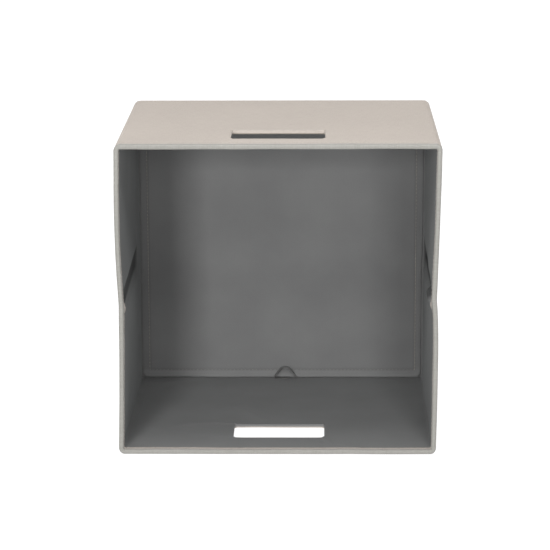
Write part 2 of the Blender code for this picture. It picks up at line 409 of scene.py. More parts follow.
def new_object(name, vertices, faces, uvs, material, thickness=0.0, outward=None):
    """A smooth-shaded mesh object with one UV pair, in metres, for each vertex.

    Its thickness lies behind the face that was modelled. outward gives the way that face looks at a point.
    """
    mesh = bpy.data.meshes.new(name)
    mesh.from_pydata([tuple(v) for v in vertices], [], faces)
    layer = mesh.uv_layers.new(name="cloth")
    for loop in mesh.loops:
        layer.data[loop.index].uv = uvs[loop.vertex_index]
    if outward is not None:
        widest = max(mesh.polygons, key=lambda face: face.area)
        if widest.normal.dot(outward(widest.center)) < 0:
            mesh.flip_normals()
    mesh.shade_smooth()
    mesh.set_sharp_from_angle(angle=math.radians(50))
    bm = bmesh.new()
    bm.from_mesh(mesh)
    for edge in bm.edges:
        edge.smooth = edge.smooth and not edge.is_boundary
    bm.to_mesh(mesh)
    bm.free()
    mesh.materials.append(material)
    obj = linked(name, mesh)
    if thickness:
        solidify = obj.modifiers.new("thickness", "SOLIDIFY")
        solidify.thickness = thickness
        solidify.offset = -1.0
    return obj


def grid_faces(rows, columns, skip=None):
    """Quads of a grid whose vertices run row by row."""
    return [
        (i * columns + j, (i + 1) * columns + j, (i + 1) * columns + j + 1, i * columns + j + 1)
        for i in range(rows - 1)
        for j in range(columns - 1)
        if not (skip and skip(i, j))
    ]


def hoop_faces(rows, columns):
    """Quads of a grid whose last row joins its first."""
    return [
        (i * columns + j, after * columns + j, after * columns + j + 1, i * columns + j + 1)
        for i, after in zip(range(rows), [*range(1, rows), 0])
        for j in range(columns - 1)
    ]


def path_lengths(points):
    """How far along a path of 2D points each one is."""
    lengths = [0.0]
    for a, b in zip(points, points[1:]):
        lengths.append(lengths[-1] + math.dist(a, b))
    return lengths


# Materials


class Shades:
    """A node material under construction, with short forms for the nodes that cloth needs."""

    def __init__(self, name, roughness):
        self.material = bpy.data.materials.new(name)
        self.material.use_nodes = True
        self.tree = self.material.node_tree
        self.shader = self.tree.nodes["Principled BSDF"]
        self.shader.inputs["Roughness"].default_value = roughness

    def link(self, a, b):
        self.tree.links.new(a, b)

    def node(self, kind, inputs=None, **values):
        """A node with its properties set, and each input linked to a socket or set to a value."""
        made = self.tree.nodes.new(kind)
        for key, value in values.items():
            setattr(made, key, value)
        for key, value in (inputs or {}).items():
            if isinstance(value, bpy.types.NodeSocket):
                self.link(value, made.inputs[key])
            else:
                made.inputs[key].default_value = value
        return made

    def cloth_uv(self):
        return self.node("ShaderNodeUVMap", uv_map="cloth").outputs[0]

    def stretched(self, vector, scale=(1, 1, 1), turn=0.0, place=(0, 0, 0)):
        inputs = {"Vector": vector, "Scale": scale, "Rotation": (0, 0, turn), "Location": place}
        return self.node("ShaderNodeMapping", inputs).outputs[0]

    def noise(self, vector, scale, detail=2.0, roughness=0.5):
        inputs = {"Vector": vector, "Scale": scale, "Detail": detail, "Roughness": roughness}
        return self.node("ShaderNodeTexNoise", inputs).outputs[0]

    def math(self, operation, a, b=0.0):
        return self.node("ShaderNodeMath", {0: a, 1: b}, operation=operation).outputs[0]

    def ramp(self, value, low, high, start=0.0, end=1.0):
        """A colour or grey that goes from low to high as the value goes from start to end."""
        made = self.node("ShaderNodeValToRGB")
        for element, position, colour in zip(made.color_ramp.elements, (start, end), (low, high)):
            element.position = position
            element.color = (*colour, 1.0) if hasattr(colour, "__len__") else (colour,) * 3 + (1.0,)
        self.link(value, made.inputs[0])
        return made.outputs[0]

    def times(self, a, b):
        """One colour multiplied by another."""
        inputs = {0: 1.0, 6: a, 7: b}
        return self.node("ShaderNodeMix", inputs, data_type="RGBA", blend_type="MULTIPLY").outputs[2]

    def bump(self, height, strength, distance):
        made = self.node("ShaderNodeBump", {"Strength": strength, "Distance": distance, "Height": height})
        self.drive(made.outputs[0], "Normal")

    def drive(self, socket, key):
        self.link(socket, self.shader.inputs[key])

    def colour(self, socket):
        self.drive(socket, "Base Color")

    def sheen(self, weight, roughness, tint):
        for key, value in (("Weight", weight), ("Roughness", roughness), ("Tint", (*tint, 1.0))):
            self.shader.inputs[f"Sheen {key}"].default_value = value

    def woven(self, uv, pitch):
        """Over-and-under of a plain weave, from -0.5 to 0.5, with threads one pitch apart."""
        split = self.node("ShaderNodeSeparateXYZ", {0: uv})
        warp, weft = (
            self.math("SINE", self.math("MULTIPLY", split.outputs[k], math.pi / pitch)) for k in (0, 1)
        )
        return self.math("MULTIPLY", self.math("MULTIPLY", warp, weft), 0.5)


# Where the rim lies along the outer cloth's width, and its tone there
RIM_FROM, RIM_TO = 0.0060, 0.0190
RIM_TONE = (0.66, 0.73, 0.755)


def linen(name, light, dark, seed, rim=False):
    """Taupe plain weave with slubs: threads thicker and paler here and there, along warp and weft.

    The rim, where the cloth is turned, is greyer and darker.
    """
    shades = Shades(name, 0.92)
    uv = shades.stretched(shades.cloth_uv(), place=(seed, 2 * seed, 0))
    weft = shades.noise(shades.stretched(uv, (90, 1900, 1)), 1.0, 3.0, 0.6)
    warp = shades.noise(shades.stretched(uv, (1900, 90, 1)), 1.0, 3.0, 0.6)
    threads = shades.math("MULTIPLY", shades.math("ADD", weft, warp), 0.5)
    cloud = shades.noise(uv, 9.0, 3.0)
    weave = shades.woven(uv, 0.00055)
    base = shades.ramp(threads, dark, light, 0.36, 0.62)
    clouded = shades.times(base, shades.ramp(cloud, 0.95, 1.0, 0.3, 0.7))
    picked = shades.times(clouded, shades.ramp(weave, 0.93, 1.03, -0.5, 0.5))
    if rim:
        split = shades.node("ShaderNodeSeparateXYZ", {0: shades.cloth_uv()})
        away = shades.math("ABSOLUTE", shades.math("SUBTRACT", split.outputs[1], (RIM_FROM + RIM_TO) / 2))
        rim_greying = shades.ramp(shades.math("DIVIDE", away, RIM_TO - RIM_FROM), RIM_TONE, 1.0, 0.40, 0.60)
        picked = shades.times(picked, rim_greying)
    shades.colour(picked)
    shades.drive(shades.ramp(threads, 0.97, 0.86, 0.3, 0.7), "Roughness")
    raised = shades.math("MULTIPLY", threads, 1.6)
    shades.bump(shades.math("ADD", raised, shades.math("MULTIPLY", weave, 0.7)), 0.45, 0.00025)
    shades.sheen(0.12, 0.45, (1.0, 0.97, 0.93))
    return shades.material


def felted(name, light, dark, seed):
    """Grey lining: thin pressed fibre cloth with faint clouds and rows of small bonded dots.

    It has painted shade where its points are marked as lying in a fold: a darker colour, less sheen and
    less specular there.
    """
    shades = Shades(name, 0.78)
    uv = shades.stretched(shades.cloth_uv(), place=(seed, seed, 0))
    fibres = shades.noise(shades.stretched(uv, turn=0.6), 900.0, 4.0, 0.65)
    cloud = shades.noise(uv, 14.0, 4.0, 0.55)
    dots = shades.woven(shades.stretched(uv, turn=math.pi / 4), 0.0009)
    base = shades.ramp(cloud, dark, light, 0.3, 0.7)
    fibred = shades.times(base, shades.ramp(fibres, 0.9, 1.06, 0.3, 0.7))
    dotted = shades.times(fibred, shades.ramp(dots, 0.95, 1.02, -0.5, 0.1))
    fold = shades.node("ShaderNodeAttribute", attribute_name="in_fold").outputs["Fac"]
    # Painted shade: the colour darkens where the fold's mark is high.
    shades.colour(shades.times(dotted, shades.ramp(fold, 1.0, 0.18)))
    shades.drive(shades.ramp(fibres, 0.72, 0.86, 0.3, 0.7), "Roughness")
    height = shades.math("ADD", shades.math("MULTIPLY", fibres, 0.8), dots)
    shades.bump(height, 0.3, 0.00012)
    shades.sheen(0.06, 0.4, (0.95, 1.0, 1.0))
    # Painted shade: less sheen and specular in the fold.
    shades.drive(shades.ramp(fold, 0.06, 0.0), "Sheen Weight")
    shades.drive(shades.ramp(fold, 0.5, 0.0), "Specular IOR Level")
    return shades.material


def twill(name):
    """Dark ribbon, with the slanted rows of a twill tape."""
    shades = Shades(name, 0.6)
    uv = shades.cloth_uv()
    rows = shades.woven(shades.stretched(uv, (1, 0.35, 1), math.pi / 4), 0.0005)
    fray = shades.noise(uv, 1500.0, 2.0)
    base = shades.ramp(rows, (0.085, 0.085, 0.082), (0.150, 0.149, 0.145), -0.5, 0.5)
    shades.colour(shades.times(base, shades.ramp(fray, 0.85, 1.05, 0.3, 0.7)))
    shades.bump(shades.math("ADD", rows, fray), 0.4, 0.0002)
    return shades.material


def pulp_board(name):
    """Greyboard: pressed pulp with flecks."""
    shades = Shades(name, 0.88)
    place = shades.node("ShaderNodeTexCoord").outputs["Object"]
    flecks = shades.noise(place, 700.0, 4.0, 0.7)
    cloud = shades.noise(place, 30.0, 3.0)
    base = shades.ramp(flecks, (0.26, 0.235, 0.205), (0.42, 0.39, 0.345), 0.35, 0.65)
    shades.colour(shades.times(base, shades.ramp(cloud, 0.88, 1.04, 0.3, 0.7)))
    shades.bump(flecks, 0.35, 0.0002)
    return shades.material


def sewing_thread(name, tone):
    """Two-ply thread: slanted plies along each stitch."""
    shades = Shades(name, 0.7)
    plies = shades.woven(shades.stretched(shades.cloth_uv(), (1, 0.5, 1), 0.7), 0.0004)
    low, high = (tuple(channel * share for channel in tone) for share in (0.7, 1.15))
    shades.colour(shades.ramp(plies, low, high, -0.5, 0.5))
    shades.bump(plies, 0.5, 0.00015)
    return shades.material


FLOOR_TONE = 0.12
FLOOR_GLOW = 0.96


def pale_floor(name):
    """Smooth white sweep with a trace of unevenness, lit from below like a light table."""
    shades = Shades(name, 0.9)
    place = shades.node("ShaderNodeTexCoord").outputs["Object"]
    cloud = shades.noise(place, 1.5, 2.0)
    shades.colour(shades.ramp(cloud, FLOOR_TONE - 0.02, FLOOR_TONE + 0.02, 0.3, 0.7))
    shades.shader.inputs["Emission Color"].default_value = (1.0, 1.0, 1.0, 1.0)
    shades.shader.inputs["Emission Strength"].default_value = FLOOR_GLOW
    return shades.material


TAUPE = ((0.416, 0.370, 0.332), (0.332, 0.293, 0.260))
OUTER = linen("taupe_linen", *TAUPE, 0.13)
HEMMED = linen("taupe_linen_hemmed", *TAUPE, 0.13, rim=True)
LINED = felted("grey_lining", (0.147, 0.148, 0.147), (0.126, 0.127, 0.126), 0.41)
# The upper slot's turned lining: the taupe is the turned outer cloth's own colour, and its darkening to
# about half is painted shade for the slot's shaded edge.
SHADED_TURNING = felted("turned_lining", (0.204, 0.179, 0.147), (0.175, 0.153, 0.126), 0.41)
SLEEVED = felted("insert_lining", (0.154, 0.155, 0.154), (0.133, 0.134, 0.134), 0.77)
RIBBON = twill("twill_ribbon")
BOARD = pulp_board("greyboard")
OUTER_THREAD = sewing_thread("taupe_thread", (0.37, 0.33, 0.30))
INNER_THREAD = sewing_thread("grey_thread", (0.115, 0.116, 0.115))


# The ring's pieces


def profile(shrink=0.0):
    """The outer cloth's (y, depth) line: the inner leg, round the rim, and back along the outer face."""
    tip = FRONT + shrink
    inner, outer = HEM - shrink, shrink
    leg_end = FRONT + INNER_LEG
    leg = [(leg_end, inner - 0.0005), (leg_end - 0.0006, inner - 0.0001)]
    leg += [(y, inner) for y in steps_between(leg_end - 0.0014, tip + RIM_ROUND, 0.0022)[:-1]]
    nose = arc(tip + RIM_ROUND, inner - RIM_ROUND, RIM_ROUND, 90, 180)
    nose += arc(tip + RIM_ROUND, outer + RIM_ROUND, RIM_ROUND, 180, 270)
    face = [(y, outer) for y in steps_between(FRONT + 0.0050, FRONT + STITCH_LINE - 0.0016, 0.0025)]
    dips = ((-1, 0.0001), (0, STITCH_DIP), (1, 0.0001))
    sewn = [(FRONT + STITCH_LINE + k * 0.0008, outer + dip) for k, dip in dips]
    rest = [(y, outer) for y in steps_between(FRONT + STITCH_LINE + 0.0016, SEAM, 0.0055)]
    return leg + nose + face + sewn + rest


# Each segment's body, or the two bodies it lies between and where it starts and stops turning, as (x, z)
SEGMENTS = {
    "lower": ("lower_wall",),
    "lower_right_corner": ("lower_wall", "right_lower", (HALF - FOLD, 0), (HALF, FOLD)),
    "right_lower": ("right_lower",),
    "right_crease": (
        "right_lower", "right_upper", (HALF, MIDDLE - CREASE_TURN), (HALF, MIDDLE + CREASE_TURN),
    ),
    "right_upper": ("right_upper",),
    "upper_right_corner": ("upper_wall",),
    "upper": ("upper_wall",),
    "upper_left_corner": ("left_upper", "upper_wall", (-HALF, HEIGHT - FOLD), (-HALF + FOLD, HEIGHT)),
    "left_upper": ("left_upper",),
    "left_crease": (
        "left_lower", "left_upper", (-HALF, MIDDLE - CREASE_TURN), (-HALF, MIDDLE + CREASE_TURN),
    ),
    "left_lower": ("left_lower",),
    "lower_left_corner": ("lower_wall", "left_lower", (-HALF + FOLD, 0), (-HALF, FOLD)),
}


def segment_span(name):
    """Where a segment starts and ends along the ring."""
    if name == "open_corner":
        return END["right"] - CORNER_REACH, START["upper"] + OPEN_CORNER_REACH
    cuts = []
    for side in START:
        cuts.append(START[side] + CORNER_REACH)
        if side in KINKS:
            middle = (START[side] + END[side]) / 2
            cuts += [middle - CREASE_REACH, middle + CREASE_REACH]
        cuts.append(END[side] - CORNER_REACH)
    cuts.append(START["lower"] + PERIMETER + CORNER_REACH)
    at = list(SEGMENTS).index(name)
    return cuts[at], cuts[at + 1]


def attach(obj, segment):
    """The piece rides on its segment's body; a piece between two bodies keeps its place, with its transform
    baked in.
    """
    body, *others = SEGMENTS[segment]
    if not others:
        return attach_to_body(obj, body)
    other, (x0, z0), (x1, z1) = others
    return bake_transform(obj)


def ring_cells(segment, cell):
    """The s values of a segment's grid, finer round the corners and over the creases."""
    if "corner" in segment:
        cell = CORNER_CELL
    if "crease" in segment:
        cell = CREASE_CELL
    return steps_between(*segment_span(segment), cell)


def outward_from(segment, inner):
    """A function that gives the direction in which a segment's shown face looks, near a point."""

    def direction(point):
        away = Vector((0 if segment in SLOTS else point.x, 0, point.z - MIDDLE))
        return -away if inner else away

    return direction


def slot_window(side, grow):
    """The hand slot's span along the ring and in y, larger by grow on each side."""
    low, high = SLOTS[side]
    middle = (START[side] + END[side]) / 2
    half = high.x - CLOTH + grow
    return (middle - half, middle + half), (low.y + CLOTH - grow, high.y - CLOTH + grow)


def slot_breaks(low, high, radius):
    """Grid lines at a slot's edge and across its two rounded corners."""
    steps = [radius * k / ROUND_STEPS for k in range(ROUND_STEPS + 1)]
    return [low + k for k in steps] + [high - k for k in steps]


def wall_sheet(name, segment, line, material, thickness, inner, cell):
    """A sheet that follows a (y, depth) line along a segment of the ring, with its hand slot."""
    columns = ring_cells(segment, cell)
    window = None
    if segment in SLOTS:
        radius = SLOT_ROUND + SLOT_EASE
        window = slot_window(segment, SLOT_EASE)
        columns = with_breaks(columns, slot_breaks(*window[0], radius), cell)
        breaks = slot_breaks(*window[1], radius)
        depth = line[-1][1]
        front = [p for p in line if p[0] < window[1][0] - 0.001 or p[1] != depth]
        rear = [p for p in line if p not in front]
        ys = with_breaks([p[0] for p in rear], breaks, 0.003)
        line = front + [(y, depth) for y in ys]
    lengths = path_lengths(line)
    vertices = [skin_point(s, y, depth, inner) for s in columns for y, depth in line]
    uvs = [(s, length) for s in columns for length in lengths]

    def in_slot(i, j):
        (s0, s1), (y0, y1) = window
        flat = line[j][1] == line[-1][1] and line[j + 1][1] == line[-1][1]
        s, y = (columns[i] + columns[i + 1]) / 2, (line[j][0] + line[j + 1][0]) / 2
        return flat and s0 < s < s1 and y0 < y < y1

    faces = grid_faces(len(columns), len(line), in_slot if window else None)
    if window:
        round_slot_corners(vertices, uvs, faces, columns, line, lengths, window, radius, inner)
    return new_object(name, vertices, faces, uvs, material, thickness, outward_from(segment, inner))


def index_of(values, value):
    return min(range(len(values)), key=lambda k: abs(values[k] - value))


def round_slot_corners(vertices, uvs, faces, columns, line, lengths, window, radius, inner):
    """Fills each square corner of a slot up to its rounded edge."""
    ys = [p[0] if p[1] == line[-1][1] else -1.0 for p in line]
    depth = line[-1][1]
    for s_edge, s_turn in ((window[0][0], 1), (window[0][1], -1)):
        for y_edge, y_turn in ((window[1][0], 1), (window[1][1], -1)):
            side_steps = [radius * k / ROUND_STEPS for k in range(ROUND_STEPS, 0, -1)]
            square = [(s_edge + s_turn * k, y_edge) for k in side_steps] + [(s_edge, y_edge)]
            square += [(s_edge, y_edge + y_turn * k) for k in reversed(side_steps)]
            outline = [index_of(columns, s) * len(line) + index_of(ys, y) for s, y in square]
            centre = (s_edge + s_turn * radius, y_edge + y_turn * radius)
            curve = [outline[0]]
            for k in range(1, 2 * ROUND_STEPS):
                turn = math.pi / 2 * k / (2 * ROUND_STEPS)
                s = centre[0] - s_turn * radius * math.sin(turn)
                y = centre[1] - y_turn * radius * math.cos(turn)
                vertices.append(skin_point(s, y, depth, inner))
                base = index_of(ys, y)
                uvs.append((s, lengths[base] + y - ys[base]))
                curve.append(len(vertices) - 1)
            curve.append(outline[-1])
            for k in range(2 * ROUND_STEPS):
                ringed = [outline[k], outline[k + 1], curve[k + 1], curve[k]]
                unique = list(dict.fromkeys(ringed))
                faces.append(tuple(unique if s_turn == y_turn else reversed(unique)))


def replaced_by(segment, kind):
    """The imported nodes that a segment's outer cloth or lining stands for."""
    if "corner" in segment:
        return ()
    if kind == "lining":
        return () if "crease" in segment else (f"{segment}_lining",)
    return (f"{segment}_strip",) if "crease" in segment else (f"{segment}_cover", f"{segment}_hem")


def wall_board(segment):
    """The board that a segment's cloth is stretched over."""
    if "corner" in segment:
        return f"{segment[:5]}_board"
    return f"{segment.replace('crease', 'lower')}_board"


def lining_line(depth):
    return [(y, depth) for y in steps_between(FRONT + LINING_START, WALL_REAR, LINING_CELL)]


def ring_cloth(kind, line, material, thickness, inner=None, cell=0.004):
    """The outer cloth with its hem, or the lining, of the four walls, all round."""
    for segment in SEGMENTS:
        obj = wall_sheet(f"{segment}_{kind}_cloth", segment, line, material, thickness, inner, cell)
        attach(obj, segment)
        if kind == "lining":
            # Each lining point is marked with how much painted shade it gets in a crease's fold.
            painted_shade_marks = obj.data.attributes.new("in_fold", "FLOAT", "POINT")
            painted_shade_marks.data.foreach_set("value", [in_fold(vertex.co) for vertex in obj.data.vertices])
        replaced = replaced_by(segment, kind)
        if replaced:
            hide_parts(*replaced)
        start, end = segment_span(segment)
        length = path_lengths(line)[-1]
        wall_board(segment)


def open_corner():
    """The right upper corner's second turn of cloth, which rides on the side wall.

    The upper wall's turn, the segment upper_right_corner, covers it until the box folds.
    """
    start, end = segment_span("open_corner")
    for slot, line, material, thickness, inner in (
        ("outer_cloth", profile(NEST), HEMMED, CLOTH, None),
        ("lining_cloth", lining_line(WALL - NEST), LINED, LINING, 1.0),
    ):
        name = f"right_upper_corner_{slot}"
        obj = wall_sheet(name, "open_corner", line, material, thickness, inner, CORNER_CELL)
        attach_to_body(obj, "right_upper")
        path_lengths(line)[-1]


def side_boards():
    """The boards of the side walls, which lean with their cloth, and the finish of the other boards."""
    for side, (below, above) in BOARD_GAPS.items():
        for half, z0, z1 in (("lower", FOLD + 0.001, below), ("upper", above, HEIGHT - FOLD - 0.001)):
            body = f"{side}_{half}"
            if side == "right":
                span = (START[side] - FOLD + z0, START[side] - FOLD + z1)
            else:
                span = (END[side] + FOLD - z1, END[side] + FOLD - z0)
            columns = steps_between(*span, 0.008)
            ys = steps_between(FRONT + 0.0022, WALL_REAR - 0.001, 0.012)
            vertices = [skin_point(s, y, BOARD_AT, 0.0) for s in columns for y in ys]
            uvs = [(s, y) for s in columns for y in ys]
            faces = grid_faces(len(columns), len(ys))
            thickness = BOARD_TO - BOARD_AT
            outward = outward_from(side, False)
            obj = new_object(f"{body}_side_board", vertices, faces, uvs, BOARD, thickness, outward)
            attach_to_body(obj, body)
            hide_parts(f"{body}_board")
    for node in ("lower_board", "upper_board", "insert_board"):
        frame["nodes"][node].data.materials.clear()
        frame["nodes"][node].data.materials.append(BOARD)


def slot_outline(side):
    """Points round a hand slot, each as (s, y) and its outward direction along s and y."""
    (s0, s1), (y0, y1) = slot_window(side, 0.0)
    r = SLOT_ROUND
    centres = ((s1 - r, y1 - r, 0), (s0 + r, y1 - r, 90), (s0 + r, y0 + r, 180), (s1 - r, y0 + r, 270))
    loop = []
    for s, y, start in centres:
        for k in range(7):
            turn = math.radians(start + 15 * k)
            loop.append((s + r * math.cos(turn), y + r * math.sin(turn), math.cos(turn), math.sin(turn)))
    points = []
    for a, b in zip(loop, [*loop[1:], loop[0]]):
        pieces = max(1, round(math.dist(a[:2], b[:2]) / 0.003))
        points += [[mix(p, q, k / pieces) for p, q in zip(a, b)] for k in range(pieces)]
    return points


def slot_turnings():
    """The cloth turned through each hand slot: outer cloth from outside, lining from inside.

    The two meet at split, near the inner face in the upper wall and near the outer face in the lower one.
    """
    # The upper slot's lining turning takes the taupe colour with painted shade.
    for side, split, lining in (("lower", 0.0013, LINED), ("upper", WALL - 0.0009, SHADED_TURNING)):
        outside = [(0.0016, 0.0), (0.0006, 0.0), (0.00015, 0.0002), (0.0, 0.0007), (0.0, split)]
        inside = [(0.0, split - 0.0001), (0.0, WALL - 0.0008), (0.0002, WALL - 0.0002)]
        inside += [(0.0007, WALL), (0.0018, WALL)]
        points = slot_outline(side)
        around = path_lengths([point[:2] for point in points])
        (s0, s1), (y0, y1) = slot_window(side, 0.0)
        centre = skin_point((s0 + s1) / 2, (y0 + y1) / 2, 0.002, 0.0)
        for kind, material, line, rise, loose in (
            ("outer", OUTER, outside, -0.00003, 0.0),
            ("lining", lining, inside, 0.00003, 1.0),
        ):
            lengths = path_lengths(line)
            vertices, uvs = [], []
            for (s, y, ns, ny), along in zip(points, around):
                for (out, depth), down in zip(line, lengths):
                    turned = loose * smooth((depth - 0.0021) / 0.0012)
                    vertices.append(skin_point(s + ns * out, y + ny * out, depth + rise, turned))
                    uvs.append((along, down))
            faces = hoop_faces(len(points), len(line))
            obj = new_object(f"{side}_slot_{kind}_turning", vertices, faces, uvs, material, TURNED_CLOTH)
            inward = sum(
                (1 if face.normal.dot(centre - face.center) > 0 else -1) * face.area
                for face in obj.data.polygons if abs(face.normal.z) < 0.5
            )
            if inward < 0:
                obj.data.flip_normals()
            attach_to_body(obj, f"{side}_wall")
            if kind == "lining":
                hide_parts(f"{side}_slot_facing")


def rounded(x, z, low, high, radius):
    """Moves a point of a rectangular grid so that the grid's corners are rounded."""
    cx = min(max(x, low[0] + radius), high[0] - radius)
    cz = min(max(z, low[1] + radius), high[1] - radius)
    dx, dz = x - cx, z - cz
    if dx == 0 or dz == 0:
        return x, z
    reach = max(abs(dx), abs(dz)) / math.hypot(dx, dz)
    return cx + dx * reach, cz + dz * reach


def upright_sheet(name, low, high, radius, depth_at, material, thickness, cell, facing, drawn=None):
    """An upright sheet across the box, which faces -Y or +Y.

    depth_at gives its y at (x, z), and drawn gives how far its edge is drawn in there.
    """
    fine = [k * 0.0014 for k in range(1, 8)]
    xs, zs = (
        with_breaks(steps_between(a, b, cell), [a + k for k in fine] + [b - k for k in fine], cell * 0.6)
        for a, b in zip(low, high)
    )
    vertices, uvs = [], []
    for x in xs:
        for z in zs:
            px, pz = rounded(x, z, low, high, radius)
            px += drawn(px, pz) if drawn else 0.0
            vertices.append(Vector((px, depth_at(px, pz), pz)))
            uvs.append((px, pz))
    faces = grid_faces(len(xs), len(zs))
    return new_object(name, vertices, faces, uvs, material, thickness, lambda point: Vector((0, facing, 0)))


def base_outer():
    """The base's outer cloth: the rear face, with its edge turned forwards to the walls' seam."""
    line = [(SEAM + 0.0003, 0.0), (REAR - BASE_ROUND, 0.0)]
    line += arc(REAR - BASE_ROUND, BASE_ROUND, BASE_ROUND, -90, 0, 5)[1:]
    loop = steps_between(0, PERIMETER, 0.004)[:-1]
    centre = Vector((0.0, MIDDLE))
    rows = 34
    edge = [ring(s + START["lower"], BASE_ROUND)[1] for s in loop]
    shares = [1 - (k + 1) / (rows + 1) for k in range(rows)]
    columns = len(line) + rows
    points = []
    for s, rim in zip(loop, edge):
        for y, depth in line:
            x, z = ring(s + START["lower"], depth)[1]
            points.append((x, y, z))
        for share in shares:
            x, z = centre + (rim - centre) * share
            dent = 0.0003 + 0.0005 * noise_at(x, z, size=0.07, seed=61)
            points.append((x, REAR - dent * smooth((1 - share) / 0.12), z))
    points.append((centre[0], REAR - 0.0005, centre[1]))
    vertices = [Vector((rack(x, y, z), y, z)) for x, y, z in points]
    uvs = [(v.x, v.z) for v in vertices]
    faces = hoop_faces(len(loop), columns)
    ends = [i * columns + columns - 1 for i in range(len(loop))]
    faces += [(a, b, len(vertices) - 1) for a, b in zip(ends, [*ends[1:], ends[0]])]
    name = "base_outer_cloth"
    obj = new_object(name, vertices, faces, uvs, OUTER, CLOTH, lambda point: Vector((0, 1, 0)))
    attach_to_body(obj, "lower_wall")
    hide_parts("base_cloth")
    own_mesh(obj)


def base_inner():
    """The base's lining, behind the loose insert."""

    def depth_at(x, z):
        return BASE_LINING - 0.0003 * abs(noise_at(x, z, size=0.06, seed=71))

    edge = 0.0012
    low, high = (-HALF + edge, edge), (HALF - edge, HEIGHT - edge)
    name = "base_lining_cloth"
    obj = upright_sheet(name, low, high, FOLD - edge, depth_at, LINED, LINING * 0.8, 0.006, -1)
    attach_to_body(obj, "lower_wall")
    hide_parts("base_lining")
    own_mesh(obj)


def flange_shift(x, z):
    """How the insert's sewn edge stands: its lower edge curls forward, and the others lie back."""
    to_edge = min(x - INSERT_LOW.x, INSERT_HIGH.x - x, INSERT_HIGH.z - z)
    back = 0.0010 * smooth((INSERT_FLANGE - to_edge) / INSERT_FLANGE)
    wave = 1 + 0.25 * noise_at(x, size=0.05, seed=83)
    reach = INSERT_FLANGE + 0.001
    return back - 0.0030 * wave * smooth((reach - (z - INSERT_LOW.z)) / reach)


def insert_sleeves():
    """The insert's sleeve: front and back sheets that meet in a sewn flange."""
    low, high = (INSERT_LOW.x, INSERT_LOW.z), (INSERT_HIGH.x, INSERT_HIGH.z)

    def inside_seam(x, z):
        return min(x - low[0], high[0] - x, z - low[1], high[1] - z) - INSERT_FLANGE

    def front(x, z):
        inside = inside_seam(x, z)
        seam = 0.0009 * math.exp(-((inside / 0.0010) ** 2))
        pressed = 0.0008 * smooth(-inside / 0.001)
        slack = 0.0003 * noise_at(x, z, size=0.09, seed=91) * smooth(inside / 0.02)
        return INSERT_LOW.y + seam + pressed + slack + flange_shift(x, z)

    def back(x, z):
        pressed = 0.0013 * smooth(-inside_seam(x, z) / 0.002)
        return min(BACK_SLEEVE + SLEEVE - pressed + flange_shift(x, z), BASE_LINING - 0.0004)

    def drawn(x, z):
        share = smooth((x - high[0] + 0.012) / 0.012)
        below = 0.0011 * smooth((0.150 - z) / 0.02)
        return -share * (below + 0.0005 * math.exp(-(((z - 0.155) / 0.008) ** 2)))

    for name, depth_at, node, facing in (
        ("insert_front_cloth", front, "insert_front_sleeve", -1),
        ("insert_back_cloth", back, "insert_back_sleeve", 1),
    ):
        obj = upright_sheet(name, low, high, 0.0055, depth_at, SLEEVED, SLEEVE, 0.0042, facing, drawn)
        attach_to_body(obj, "base_insert")
        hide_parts(node)


def pull_loop():
    """The ribbon loop: a band that stands out from the insert's lower edge, with a flat top."""
    centre = (LOOP_LOW.x + LOOP_HIGH.x) / 2
    half = (LOOP_HIGH.x - LOOP_LOW.x) / 2 - 0.0005
    flat = LOOP_FLAT
    bottom, top = LOOP_LOW.z + 0.0002, LOOP_HIGH.z
    outline = [
        (-half + 0.0170, bottom - 0.0001), (-half + 0.0020, bottom - 0.0001), (-half, bottom + 0.0005),
        (mix(-half, -flat, 0.45), mix(bottom, top, 0.52)), (-flat - 0.0003, top - 0.0003),
        (-flat + 0.0008, top), (flat - 0.0010, top + 0.0002), (flat, top - 0.0002),
        (mix(half, flat, 0.45), mix(bottom, top, 0.50)), (half, bottom + 0.0003), (half + 0.0012, bottom),
    ]
    path = [(x + centre, z) for x, z in outline]
    for _ in range(2):
        cut = [path[0]]
        for a, b in zip(path, path[1:]):
            cut += [tuple(mix(p, q, share) for p, q in zip(a, b)) for share in (0.2, 0.8)]
        path = [*cut, path[-1]]
    lengths = path_lengths(path)
    ys = steps_between(LOOP_HIGH.y, LOOP_LOW.y + 0.0015, 0.0014)
    vertices, uvs = [], []
    for (x, z), along in zip(path, lengths):
        for y in ys:
            out = (LOOP_HIGH.y - y) / (LOOP_HIGH.y - LOOP_LOW.y)
            rise = max(0.0, z - bottom) / (top - bottom)
            vertices.append(Vector((x, y, z + 0.0012 * out * rise)))
            uvs.append((along, y))
    faces = grid_faces(len(path), len(ys))
    name = "pull_loop_ribbon"
    obj = new_object(name, vertices, faces, uvs, RIBBON, TAPE, lambda point: Vector((0, 0, 1)))
    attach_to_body(obj, "base_insert")
    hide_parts("pull_loop")
    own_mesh(obj)


# Stitches


STITCH_LENGTH = 0.0030
STITCH_GAP = 0.0011
THREAD = 0.00022


def stitch(vertices, faces, uvs, start, end, out):
    """One stitch: a thread that rises from start, lies along the cloth and dips in again at end."""
    run = end - start
    across = run.cross(out).normalized()
    rows, sides = 6, 6
    first = len(vertices)
    for i in range(rows + 1):
        t = i / rows
        rise = out * (THREAD * (1.5 * math.sin(math.pi * t) ** 0.5 - 0.9))
        thick = THREAD * (0.55 + 0.45 * math.sin(math.pi * t))
        for k in range(sides):
            turn = 2 * math.pi * k / sides
            round_thread = across * (math.cos(turn) * thick) + out * (math.sin(turn) * thick)
            vertices.append(start + run * t + rise + round_thread)
            uvs.append((t * run.length, k * 0.0002))
    for i in range(rows):
        for k in range(sides):
            a, b = first + i * sides + k, first + i * sides + (k + 1) % sides
            faces.append((a, b, b + sides, a + sides))
    faces.append(tuple(first + k for k in reversed(range(sides))))
    faces.append(tuple(first + rows * sides + k for k in range(sides)))


def stitch_object(name, pairs, material):
    """All the stitches of one row, as one piece, from each one's start, end and outward direction."""
    vertices, faces, uvs = [], [], []
    for start, end, out in pairs:
        stitch(vertices, faces, uvs, start, end, out)
    return new_object(name, vertices, faces, uvs, material)


